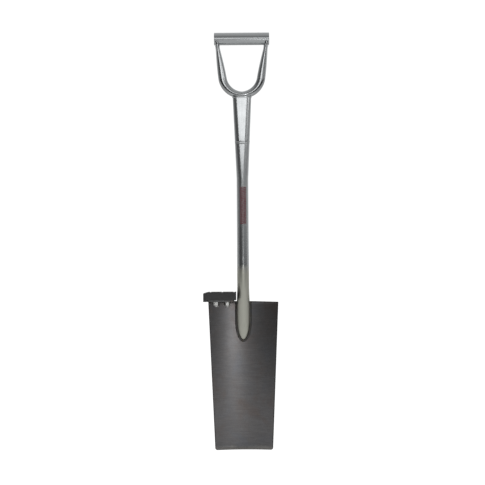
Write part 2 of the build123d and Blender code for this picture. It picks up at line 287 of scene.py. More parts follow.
def rounded(bm, mesh, turn, width, segments, crease):
    """Mesh whose edges are rounded where the faces turn by more than a limit."""
    sharp = [e for e in bm.edges if len(e.link_faces) == 2 and e.calc_face_angle() > turn]
    bmesh.ops.bevel(
        bm,
        geom=sharp,
        offset=width,
        segments=segments,
        profile=0.5,
        affect="EDGES",
        clamp_overlap=True,
    )
    for face in bm.faces:
        face.smooth = True
    bm.to_mesh(mesh)
    bm.free()
    mesh.set_sharp_from_angle(angle=math.radians(crease))
    return mesh


def softened_copy(node, width, segments=2):
    """Copy of a frame part's mesh with its sharp edges rounded."""
    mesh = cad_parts[node].data.copy()
    bm = bmesh.new()
    bm.from_mesh(mesh)
    bmesh.ops.remove_doubles(bm, verts=bm.verts, dist=0.002 * MM)
    bmesh.ops.dissolve_limit(
        bm, angle_limit=math.radians(1), verts=bm.verts, edges=bm.edges
    )
    return rounded(bm, mesh, 0.5, width, segments, 32)


# Shader helpers


def new_node(tree, kind, inputs=None, **settings):
    node = tree.nodes.new(kind)
    for key, value in settings.items():
        setattr(node, key, value)
    for key, value in (inputs or {}).items():
        if isinstance(value, bpy.types.NodeSocket):
            tree.links.new(value, node.inputs[key])
        else:
            node.inputs[key].default_value = value
    return node


def new_group(name, inputs, outputs):
    """Empty node group with named sockets; returns it with its two ends."""
    tree = bpy.data.node_groups.new(name, "ShaderNodeTree")
    for label, kind, value in inputs:
        socket = tree.interface.new_socket(label, in_out="INPUT", socket_type=kind)
        if value is not None:
            socket.default_value = value
    for label, kind in outputs:
        tree.interface.new_socket(label, in_out="OUTPUT", socket_type=kind)
    return tree, new_node(tree, "NodeGroupInput"), new_node(tree, "NodeGroupOutput")


def group_node(tree, name, inputs):
    return new_node(
        tree, "ShaderNodeGroup", inputs, node_tree=bpy.data.node_groups[name]
    )


def mix_color(tree, factor, first, second, blend="MIX"):
    node = new_node(tree, "ShaderNodeMix", data_type="RGBA", blend_type=blend)
    for index, value in ((0, factor), (6, first), (7, second)):
        if isinstance(value, bpy.types.NodeSocket):
            tree.links.new(value, node.inputs[index])
        elif index == 0:
            node.inputs[index].default_value = value
        else:
            node.inputs[index].default_value = (*value, 1)
    return node.outputs[2]


def map_range(tree, value, low, high, out_low=0.0, out_high=1.0):
    node = new_node(
        tree,
        "ShaderNodeMapRange",
        {
            "Value": value,
            "From Min": low,
            "From Max": high,
            "To Min": out_low,
            "To Max": out_high,
        },
    )
    return node.outputs["Result"]


def arithmetic(tree, operation, first, second=0.5):
    node = new_node(tree, "ShaderNodeMath", {0: first, 1: second}, operation=operation)
    return node.outputs[0]


def split(tree, vector):
    """X, Y and Z of a vector."""
    return new_node(tree, "ShaderNodeSeparateXYZ", {0: vector}).outputs


def joined(tree, x, y, z):
    return new_node(tree, "ShaderNodeCombineXYZ", {"X": x, "Y": y, "Z": z}).outputs[0]


def grey(tree, tone):
    inputs = {"Red": tone, "Green": tone, "Blue": tone}
    return new_node(tree, "ShaderNodeCombineColor", inputs).outputs[0]


def cloud(tree, vector, scale, detail, roughness, distortion=0.0):
    """Noise from 0 to 1."""
    inputs = {
        "Vector": vector,
        "Scale": scale,
        "Detail": detail,
        "Roughness": roughness,
        "Distortion": distortion,
    }
    return new_node(tree, "ShaderNodeTexNoise", inputs).outputs["Fac"]


def distance_to(tree, place, point):
    node = new_node(
        tree, "ShaderNodeVectorMath", {0: place, 1: point}, operation="DISTANCE"
    )
    return node.outputs["Value"]


def mill_scale(tree, place, main, warm, cool, patches, grain):
    inputs = {
        "Vector": place,
        "Main": (*main, 1),
        "Warm": (*warm, 1),
        "Cool": (*cool, 1),
        "Patches per metre": patches,
        "Grain per metre": grain,
    }
    return group_node(tree, "Mill Scale", inputs)


def smudge_mask(tree, place, scale, contrast):
    inputs = {"Vector": place, "Patches per metre": scale, "Contrast": contrast}
    return group_node(tree, "Smudges", inputs).outputs["Mask"]


# Shared effects


def build_smudge_group():
    """Soft patches, from 0 to 1, for handling marks and uneven finish."""
    tree, start, end = new_group(
        "Smudges",
        [
            ("Vector", "NodeSocketVector", None),
            ("Patches per metre", "NodeSocketFloat", 40.0),
            ("Contrast", "NodeSocketFloat", 0.5),
        ],
        [("Mask", "NodeSocketFloat")],
    )
    given = start.outputs
    patches = cloud(tree, given["Vector"], given["Patches per metre"], 5.0, 0.62, 0.4)
    centred = arithmetic(tree, "SUBTRACT", patches, 0.5)
    gain = arithmetic(tree, "MULTIPLY", given["Contrast"], 6.0)
    spread = arithmetic(tree, "MULTIPLY", centred, gain)
    shifted = new_node(
        tree, "ShaderNodeMath", {0: spread, 1: 0.5}, operation="ADD", use_clamp=True
    )
    tree.links.new(shifted.outputs[0], end.inputs["Mask"])


def build_lines_group():
    """Fine lines drawn out along the vector's last axis."""
    tree, start, end = new_group(
        "Drawn Lines",
        [
            ("Vector", "NodeSocketVector", None),
            ("Lines per metre", "NodeSocketFloat", 2500.0),
            ("Stretch", "NodeSocketFloat", 0.01),
        ],
        [("Height", "NodeSocketFloat")],
    )
    parts = split(tree, start.outputs["Vector"])
    along = arithmetic(tree, "MULTIPLY", parts["Z"], start.outputs["Stretch"])
    drawn = joined(tree, parts["X"], parts["Y"], along)
    lines = cloud(tree, drawn, start.outputs["Lines per metre"], 2.0, 0.55)
    tree.links.new(lines, end.inputs["Height"])


def build_scale_group():
    """Mill scale: colour that drifts between three tones, and its height."""
    tree, start, end = new_group(
        "Mill Scale",
        [
            ("Vector", "NodeSocketVector", None),
            ("Main", "NodeSocketColor", (0.1, 0.1, 0.1, 1)),
            ("Warm", "NodeSocketColor", (0.1, 0.08, 0.07, 1)),
            ("Cool", "NodeSocketColor", (0.1, 0.1, 0.12, 1)),
            ("Patches per metre", "NodeSocketFloat", 18.0),
            ("Grain per metre", "NodeSocketFloat", 900.0),
        ],
        [("Color", "NodeSocketColor"), ("Height", "NodeSocketFloat")],
    )
    given = start.outputs
    patches = cloud(tree, given["Vector"], given["Patches per metre"], 4.0, 0.6, 0.6)
    grain = cloud(tree, given["Vector"], given["Grain per metre"], 3.0, 0.65)
    warm = map_range(tree, patches, 0.5, 0.68)
    cool = map_range(tree, patches, 0.46, 0.32)
    tinted = mix_color(tree, warm, given["Main"], given["Warm"])
    tinted = mix_color(tree, cool, tinted, given["Cool"])
    shade = map_range(tree, grain, 0.3, 0.7, 0.86, 1.12)
    final = mix_color(tree, 1.0, tinted, grey(tree, shade), "MULTIPLY")
    tree.links.new(final, end.inputs["Color"])
    tree.links.new(grain, end.inputs["Height"])


def start_material(name):
    """New material with its Principled shader and its place on the spade."""
    material = bpy.data.materials.new(name)
    material.use_nodes = True
    tree = material.node_tree
    shader = tree.nodes["Principled BSDF"]
    place = new_node(tree, "ShaderNodeTexCoord").outputs["Object"]
    return material, tree, shader, place


def finish(tree, shader, rough, height, distance):
    """Connects a surface's roughness and its relief."""
    tree.links.new(rough, shader.inputs["Roughness"])
    inputs = {"Height": height, "Distance": distance, "Strength": 1.0}
    bump = new_node(tree, "ShaderNodeBump", inputs)
    tree.links.new(bump.outputs["Normal"], shader.inputs["Normal"])


def polished_tube(name, color, heat_color=None, lines_along="Z"):
    """Drawn steel tube: long polishing lines, smudges and a heated foot."""
    material, tree, shader, place = start_material(name)
    shader.inputs["Metallic"].default_value = 1.0
    along = place
    if lines_along == "X":
        parts = split(tree, place)
        along = joined(tree, parts["Z"], parts["Y"], parts["X"])
    lines = group_node(tree, "Drawn Lines", {"Vector": along, "Lines per metre": 1400.0})
    smudges = smudge_mask(tree, place, 26.0, 0.5)
    rough = map_range(tree, smudges, 0.0, 1.0, 0.15, 0.2)
    dark = tuple(part * 0.84 for part in color)
    tone = map_range(tree, lines.outputs["Height"], 0.35, 0.65)
    final = mix_color(tree, tone, dark, color)
    if heat_color:
        parts = split(tree, place)
        uneven = arithmetic(tree, "MULTIPLY", smudges, 14 * MM)
        height = arithmetic(tree, "ADD", parts["Z"], uneven)
        heated = map_range(
            tree, height, BLADE_TOP_Z + 102 * MM, BLADE_TOP_Z + 82 * MM
        )
        final = mix_color(tree, heated, final, heat_color)
        extra = arithmetic(tree, "MULTIPLY", heated, 0.27)
        rough = arithmetic(tree, "ADD", rough, extra)
    tree.links.new(final, shader.inputs["Base Color"])
    finish(tree, shader, rough, lines.outputs["Height"], 0.0014 * MM)
    return material


def blade_material(settings):
    """Dark heat-treated plate with painted shade along its rims and a ground cutting
    edge.
    """
    material, tree, shader, place = start_material("blade_steel_finish")
    shader.inputs["Metallic"].default_value = 1.0
    scale = mill_scale(
        tree,
        place,
        settings.color,
        settings.warm_color,
        (0.164, 0.166, 0.176),
        16.0,
        700.0,
    )
    parts = split(tree, place)
    swapped = joined(tree, parts["Z"], parts["Y"], parts["X"])
    streaks = group_node(
        tree,
        "Drawn Lines",
        {"Vector": swapped, "Lines per metre": 300.0, "Stretch": 0.05},
    )
    streak_tone = map_range(tree, streaks.outputs["Height"], 0.35, 0.7, 0.93, 1.07)
    # Painted shade: a dark band along the plate's sides, top and foot stands in for the
    # shade at its rims.
    rim = arithmetic(tree, "ABSOLUTE", parts["X"], 0.0)
    slope = (BLADE_TOP_HALF - BLADE_BOTTOM_HALF) / (BLADE_TOP_Z - EDGE_Z)
    taper = arithmetic(tree, "MULTIPLY", parts["Z"], slope)
    inward = arithmetic(tree, "SUBTRACT", rim, taper)
    side = BLADE_BOTTOM_HALF - EDGE_Z * slope
    near_side = map_range(tree, inward, side - 2.6 * MM, side - 1.2 * MM)
    near_top = map_range(
        tree, parts["Z"], BLADE_TOP_Z - 4.4 * MM, BLADE_TOP_Z - 2.2 * MM
    )
    near_foot = map_range(
        tree, parts["Z"], EDGE_Z + 2.0 * MM, EDGE_Z + 1.0 * MM
    )
    painted_rim_shade = arithmetic(tree, "MAXIMUM", near_side, near_top)
    painted_rim_shade = arithmetic(tree, "MAXIMUM", painted_rim_shade, near_foot)
    rim_shade_tone = map_range(tree, painted_rim_shade, 0.0, 1.0, 1.0, 0.22)
    tone = arithmetic(tree, "MULTIPLY", streak_tone, rim_shade_tone)
    smudges = smudge_mask(tree, place, 22.0, 0.4)
    ragged = arithmetic(tree, "MULTIPLY", smudges, 7 * MM)
    height = arithmetic(tree, "ADD", parts["Z"], ragged)
    ground = map_range(tree, height, EDGE_Z + 15 * MM, EDGE_Z + 8 * MM)
    color = mix_color(tree, ground, scale.outputs["Color"], settings.bare_color)
    color = mix_color(tree, 1.0, color, grey(tree, tone), "MULTIPLY")
    tree.links.new(color, shader.inputs["Base Color"])
    rough = map_range(tree, smudges, 0.0, 1.0, 0.275, 0.305)
    grinding = group_node(
        tree,
        "Drawn Lines",
        {"Vector": swapped, "Lines per metre": 1600.0, "Stretch": 0.02},
    )
    ground_height = arithmetic(tree, "MULTIPLY", grinding.outputs["Height"], ground)
    total = arithmetic(tree, "ADD", scale.outputs["Height"], ground_height)
    finish(tree, shader, rough, total, 0.014 * MM)
    return material


def weld_material(settings):
    """Raw bead: dark, slightly heat-tinted, with a fine crust."""
    material, tree, shader, place = start_material("weld_metal_finish")
    shader.inputs["Metallic"].default_value = 0.75
    scale = mill_scale(
        tree,
        place,
        settings.color,
        (0.085, 0.07, 0.055),
        (0.09, 0.095, 0.11),
        120.0,
        1600.0,
    )
    tree.links.new(scale.outputs["Color"], shader.inputs["Base Color"])
    rough = map_range(tree, scale.outputs["Height"], 0.3, 0.7, 0.36, 0.55)
    finish(tree, shader, rough, scale.outputs["Height"], 0.05 * MM)
    return material


def plate_material(settings):
    """Tread steel: dark, with warmer and cooler patches."""
    material, tree, shader, place = start_material("tread_steel_finish")
    shader.inputs["Metallic"].default_value = 0.8
    scale = mill_scale(
        tree,
        place,
        settings.plate_color,
        (0.13, 0.105, 0.09),
        (0.16, 0.165, 0.17),
        60.0,
        900.0,
    )
    tree.links.new(scale.outputs["Color"], shader.inputs["Base Color"])
    rough = map_range(tree, scale.outputs["Height"], 0.3, 0.7, 0.3, 0.45)
    finish(tree, shader, rough, scale.outputs["Height"], 0.03 * MM)
    return material


def rubber_material(settings):
    """Moulded black rubber, dusty on top of its grain, with painted shade along its top
    and end edges.
    """
    material, tree, shader, place = start_material("black_rubber_finish")
    shader.inputs["Specular IOR Level"].default_value = 0.45
    smudges = smudge_mask(tree, place, 70.0, 0.45)
    grain = cloud(tree, place, 2200.0, 3.0, 0.7)
    dusty = tuple(part * 1.9 + 0.006 for part in settings.rubber_color)
    patches = arithmetic(tree, "MULTIPLY", smudges, 0.5)
    color = mix_color(tree, patches, settings.rubber_color, dusty)
    parts = split(tree, place)
    # Painted shade: the colour darkens in a narrow band at the cushion's top and both
    # ends, standing in for the shade along its edges.
    rim = 2.6 * MM
    x, z = parts["X"], parts["Z"]
    sides = (
        (x, CUSHION_LOW.x + rim, CUSHION_LOW.x),
        (x, CUSHION_HIGH.x - rim, CUSHION_HIGH.x),
        (z, CUSHION_HIGH.z - rim, CUSHION_HIGH.z),
    )
    edge = 0.0
    for value, start, end in sides:
        edge = arithmetic(tree, "MAXIMUM", edge, map_range(tree, value, start, end))
    edge = arithmetic(tree, "MULTIPLY", edge, 0.8)
    edge_shade_color = tuple(part * 0.25 for part in settings.rubber_color)
    color = mix_color(tree, edge, color, edge_shade_color)
    tree.links.new(color, shader.inputs["Base Color"])
    rough = map_range(tree, smudges, 0.0, 1.0, 0.5, 0.68)
    finish(tree, shader, rough, grain, 0.08 * MM)
    return material


def zinc_material(settings):
    """Bright zinc plate with small dull spots."""
    material, tree, shader, place = start_material("zinc_plate_finish")
    shader.inputs["Metallic"].default_value = 1.0
    smudges = smudge_mask(tree, place, 320.0, 0.5)
    dull = tuple(part * 0.7 for part in settings.zinc_color)
    color = mix_color(tree, smudges, dull, settings.zinc_color)
    tree.links.new(color, shader.inputs["Base Color"])
    rough = map_range(tree, smudges, 0.0, 1.0, 0.38, 0.22)
    finish(tree, shader, rough, smudges, 0.02 * MM)
    return material


def nylon_material():
    """Natural nylon of the lock rings."""
    material, tree, shader, place = start_material("white_nylon_finish")
    smudges = smudge_mask(tree, place, 400.0, 0.3)
    color = mix_color(
        tree, smudges, (0.62, 0.60, 0.54), (0.74, 0.73, 0.69)
    )
    tree.links.new(color, shader.inputs["Base Color"])
    rough = map_range(tree, smudges, 0.0, 1.0, 0.35, 0.5)
    finish(tree, shader, rough, smudges, 0.02 * MM)
    return material


def print_material(tube, tread):
    """Clear film over the steel, printed with a plain row of slanted bars."""
    material, tree, shader, place = start_material("printed_film_finish")
    parts = split(tree, place)
    slant = arithmetic(tree, "MULTIPLY", parts["X"], 0.3)
    height = arithmetic(tree, "ADD", parts["Z"], slant)
    bars = new_node(
        tree, "ShaderNodeMath", {0: height, 1: 5.9 * MM}, operation="FLOORED_MODULO"
    )
    solid = map_range(tree, bars.outputs[0], 4.5 * MM, 4.1 * MM, 0.42, 1.0)
    shifted = arithmetic(tree, "SUBTRACT", parts["X"], 0.8 * MM)
    across = arithmetic(tree, "ABSOLUTE", shifted, 0.0)
    middle = (DECAL_LOW.z + DECAL_HIGH.z) / 2
    centred = arithmetic(tree, "SUBTRACT", parts["Z"], middle)
    along = arithmetic(tree, "ABSOLUTE", centred, 0.0)
    sides = map_range(tree, across, 8.3 * MM, 7.9 * MM)
    ends = map_range(tree, along, 47.6 * MM, 47.0 * MM)
    inside = arithmetic(tree, "MULTIPLY", sides, ends)
    worn = smudge_mask(tree, place, 420.0, 0.8)
    kept = map_range(tree, worn, 0.05, 0.45, 0.6, 1.0)
    shape = arithmetic(tree, "MULTIPLY", solid, inside)
    mask = arithmetic(tree, "MULTIPLY", shape, kept)
    color = mix_color(tree, mask, tube.color, tread.print_color)
    tree.links.new(color, shader.inputs["Base Color"])
    metal = arithmetic(tree, "SUBTRACT", 1.0, mask)
    tree.links.new(metal, shader.inputs["Metallic"])
    rough = map_range(tree, mask, 0.0, 1.0, 0.17, 0.32)
    finish(tree, shader, rough, mask, 0.02 * MM)
    return material


def give(objects, material):
    """Puts one material in every slot of these objects."""
    for item in objects:
        if not item.data.materials:
            item.data.materials.append(material)
        for place in item.material_slots:
            place.material = material


def cad(*names):
    return [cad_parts[name] for name in names]


def made_material(name, maker, *arguments):
    """The named material, made the first time that it is asked for."""
    return bpy.data.materials.get(name) or maker(*arguments)


def tube_steel():
    tube = bpy.context.scene.spade_tube
    return made_material(
        "tube_steel_finish",
        polished_tube,
        "tube_steel_finish",
        tuple(tube.color),
        tuple(tube.heat_color),
    )


def grip_steel():
    tube = bpy.context.scene.spade_tube
    return made_material(
        "grip_steel_finish",
        polished_tube,
        "grip_steel_finish",
        tuple(tube.grip_color),
        None,
        "X",
    )


def weld_metal():
    return made_material(
        "weld_metal_finish", weld_material, bpy.context.scene.spade_weld
    )


# Shapes of the tubes


def dish_y(x):
    """Depth of the blade's front face at a distance from its middle."""
    return BLADE_FACE_Y - DISH_RADIUS + math.sqrt(DISH_RADIUS**2 - x * x)


def blade_mesh(rounding):
    """Dished plate with a ground cutting edge and softly rounded rims."""
    columns = even_steps(-1, 1, 61)
    near_edge = (0, 0.4, 1.0, 2.0, 3.2, 4.4, 5.5, 6.8, 8.0)
    rows = [EDGE_Z + step * MM for step in near_edge]
    rows += even_steps(rows[-1], BLADE_TOP_Z, 44)[1:]
    bm = bmesh.new()
    front, back = [], []
    for z in rows:
        part = (z - EDGE_Z) / (BLADE_TOP_Z - EDGE_Z)
        half = BLADE_BOTTOM_HALF + (BLADE_TOP_HALF - BLADE_BOTTOM_HALF) * part
        short = max(BLADE_CORNER_RADIUS - (z - EDGE_Z), 0.0)
        half -= BLADE_CORNER_RADIUS - math.sqrt(BLADE_CORNER_RADIUS**2 - short**2)
        ground = max(1 - (z - EDGE_Z) / BEVEL_HEIGHT, 0.0)
        recess = (BLADE_THICKNESS - EDGE_THICKNESS) * ground
        for grid, depth in ((front, recess), (back, BLADE_THICKNESS)):
            line = []
            for column in columns:
                x = column * half
                drop = BLADE_SHOULDER_DROP * max(column, 0.0) * part
                line.append(bm.verts.new((x, dish_y(x) + depth, z - drop)))
            grid.append(line)
    last = len(columns) - 1
    for grid in (front, back):
        for low, high in zip(grid, grid[1:]):
            for i in range(last):
                bm.faces.new((low[i], low[i + 1], high[i + 1], high[i]))
    for i in range(last):
        for near, far in ((front[0], back[0]), (front[-1], back[-1])):
            bm.faces.new((near[i], near[i + 1], far[i + 1], far[i]))
    for i in (0, last):
        for row in range(len(rows) - 1):
            corners = (front[row][i], front[row + 1][i], back[row + 1][i], back[row][i])
            bm.faces.new(corners)
    bmesh.ops.recalc_face_normals(bm, faces=bm.faces)
    return rounded(bm, bpy.data.meshes.new("blade_plate"), 0.9, rounding, 3, 20)


def taper_half(z):
    """Half width, half depth and squareness of the taper at a height."""
    part = (z - FLARE_BOTTOM_Z) / (SOCKET_HIGH.z - FLARE_BOTTOM_Z)
    part = min(max(part, 0.0), 1.0)
    width = SHAFT_RADIUS + (SOCKET_TOP_HALF[0] - SHAFT_RADIUS) * part
    depth = SHAFT_RADIUS + (SOCKET_TOP_HALF[1] - SHAFT_RADIUS) * part
    return width, depth, 2 + (SOCKET_POWER - 2) * part


def taper_ring(z, grow=0.0, shrink=1.0):
    width, depth, power = taper_half(z)
    across = Vector((1, 0, 0))
    return ring(
        Vector((0, 0, z)), across, width * shrink + grow, depth * shrink + grow, power
    )


def even_steps(start, stop, count):
    return [start + (stop - start) * i / (count - 1) for i in range(count)]


def arm_x(z):
    """Distance of an arm's centre line from the middle at a height."""
    return YOKE_RADIUS * math.cos(YOKE_LEAN) + (z - YOKE_SHOULDER_Z) * YOKE_SLOPE


def arm_half(z):
    """Half width and half depth of an arm at a height."""
    part = (z - YOKE_SHOULDER_Z) / (YOKE_NECK_Z - YOKE_SHOULDER_Z)
    part = min(max(part, 0.0), 1.0)
    eased = part**1.5
    return tuple(
        low + (high - low) * eased for low, high in zip(YOKE_SHOULDER, YOKE_NECK)
    )


def yoke_rings():
    """Sections of the U from the top of the left arm to the top of the right."""
    left = []
    steps = 30
    for z in even_steps(-GRIP_RADIUS * 0.4, YOKE_SHOULDER_Z, steps):
        across = Vector((math.cos(YOKE_LEAN), 0, math.sin(YOKE_LEAN)))
        left.append((Vector((-arm_x(z), 0, z)), across, arm_half(z)))
    for step in range(1, steps):
        part = step / steps
        turn = YOKE_LEAN + (math.pi / 2 - YOKE_LEAN) * part
        eased = part**2
        half = tuple(
            high + (low - high) * eased for low, high in zip(YOKE_BOTTOM, YOKE_SHOULDER)
        )
        down = YOKE_RADIUS * math.sin(turn)
        place = Vector((-YOKE_RADIUS * math.cos(turn), 0, YOKE_CENTRE_Z - down))
        left.append((place, Vector((math.cos(turn), 0, math.sin(turn))), half))
    bottom = [(Vector((0, 0, YOKE_BOTTOM_Z)), Vector((0, 0, 1)), YOKE_BOTTOM)]
    right = [
        (Vector((-place.x, 0, place.z)), Vector((-across.x, 0, across.z)), half)
        for place, across, half in reversed(left)
    ]
    rings = []
    for place, across, (width, depth) in left + bottom + right:
        rings.append(ring(place, across, width, depth))
    for end in (rings[0], rings[-1]):
        for point in end:
            slide_to_grip(point)
    return rings


def slide_to_grip(point):
    """Moves a point of an arm along the arm until it is just inside the grip."""
    reach = GRIP_RADIUS - 0.4 * MM
    top = -math.sqrt(max(reach**2 - point.y**2, 0.0))
    side = math.copysign(1.0, point.x)
    point.x += side * (top - point.z) * YOKE_SLOPE
    point.z = top


def shaft_rings():
    """Sections of the shaft from its seam to the tip of the tongue."""
    rings = [taper_ring(z) for z in even_steps(SEAM_Z, FLARE_BOTTOM_Z, 24)]
    lean = math.asin(2 * OVAL_HALF[1] / SCARF_LENGTH)
    tip_y = BLADE_FACE_Y + OVAL_HALF[1] * math.cos(lean)
    tip_z = TIP_Z + OVAL_HALF[1] * math.sin(lean)
    corner_z = tip_z + tip_y / math.tan(lean)
    half_bend = BEND_RADIUS * math.tan(lean / 2)
    across = Vector((1, 0, 0))
    for z in even_steps(FLARE_BOTTOM_Z, corner_z + half_bend, 14)[1:]:
        rings.append(ring(Vector((0, 0, z)), across, SHAFT_RADIUS, SHAFT_RADIUS))
    for turn in even_steps(0, lean, 12)[1:]:
        y = BEND_RADIUS * (1 - math.cos(turn))
        z = corner_z + half_bend - BEND_RADIUS * math.sin(turn)
        rings.append(leaning_ring(Vector((0, y, z)), turn, SHAFT_RADIUS, SHAFT_RADIUS))
    start = Vector((0, y, z))
    down = Vector((0, math.sin(lean), -math.cos(lean)))
    run = (start.z - TIP_Z) / math.cos(lean) + 8 * MM
    for distance in even_steps(0, run, 70)[1:]:
        part = min(distance / OVAL_RUN, 1.0)
        width = SHAFT_RADIUS + (OVAL_HALF[0] - SHAFT_RADIUS) * part
        depth = SHAFT_RADIUS + (OVAL_HALF[1] - SHAFT_RADIUS) * part
        points = leaning_ring(start + down * distance, lean, width, depth)
        for point in points:
            if point.z < BLADE_TOP_Z + 30 * MM:
                point.y = min(point.y, dish_y(point.x) + 1.0 * MM)
        rings.append(points)
    return rings


def leaning_ring(centre, turn, half_width, half_depth):
    points = []
    depth = Vector((0, math.cos(turn), math.sin(turn)))
    for step in range(TUBE_SIDES):
        x, y = section_point(2 * math.pi * step / TUBE_SIDES, half_width, half_depth)
        points.append(centre + Vector((x, 0, 0)) + depth * y)
    return points


def bead_rings(path, width, height, settings, sides=14, dressed=False):
    """Bead along a path of (point, outward, along) triples, rippled unless dressed."""
    rings = []
    travelled = 0.0
    before = path[0][0]
    for point, outward, along in path:
        travelled += (point - before).length
        before = point
        phase = (travelled / settings.ripple) % 1.0
        swell = 0.0 if dressed else settings.ripple_height * (1 - phase) ** 0.6
        wander = (0.08 if dressed else 0.25) * MM * noise.noise(point * 180)
        raise_dir = along.cross(outward).normalized()
        points = []
        for step in range(sides):
            angle = 2 * math.pi * step / sides
            reach = width + swell * 0.5 + wander
            rise = height + swell + wander
            points.append(
                point
                + outward * math.cos(angle) * reach
                + raise_dir * math.sin(angle) * rise
            )
        rings.append(points)
    return rings


# Operators


class SPADE_OT_blade(bpy.types.Operator):
    """Round the blade's edges and finish it as heat-treated plate"""

    bl_idname = "spade.blade"
    bl_label = "Blade"

    def execute(self, context):
        settings = context.scene.spade_blade
        mesh = blade_mesh(settings.edge_round)
        piece = add_piece("blade_plate", mesh, ["blade"])
        give([piece], blade_material(settings))
        return {"FINISHED"}


class SPADE_OT_tubes(bpy.types.Operator):
    """Build the shaft, the tapered socket and the bent yoke"""

    bl_idname = "spade.tubes"
    bl_label = "Shaft, Socket and Yoke"

    def execute(self, context):
        shaft = add_piece(
            "shaft", skin("shaft", shaft_rings()), ["shaft_tube"]
        )
        heights = even_steps(SEAM_Z, YOKE_LOW.z, 24)
        rings = [taper_ring(z) for z in heights]
        top = YOKE_LOW.z
        for rise, shrink in ((3.5, 0.99), (6.0, 0.955), (7.6, 0.89), (8.2, 0.8)):
            rings.append(taper_ring(top + rise * MM, shrink=shrink))
        socket = add_piece(
            "socket", skin("socket", rings), ["handle_socket"]
        )
        yoke = add_piece(
            "yoke_tube", skin("yoke_tube", yoke_rings()), ["yoke"]
        )
        give([shaft, socket, yoke], tube_steel())
        return {"FINISHED"}


class SPADE_OT_grip(bpy.types.Operator):
    """Finish the grip tube and its end plugs"""

    bl_idname = "spade.grip"
    bl_label = "Grip"

    def execute(self, context):
        give(cad("grip_tube", "left_grip_plug", "right_grip_plug"), grip_steel())
        return {"FINISHED"}


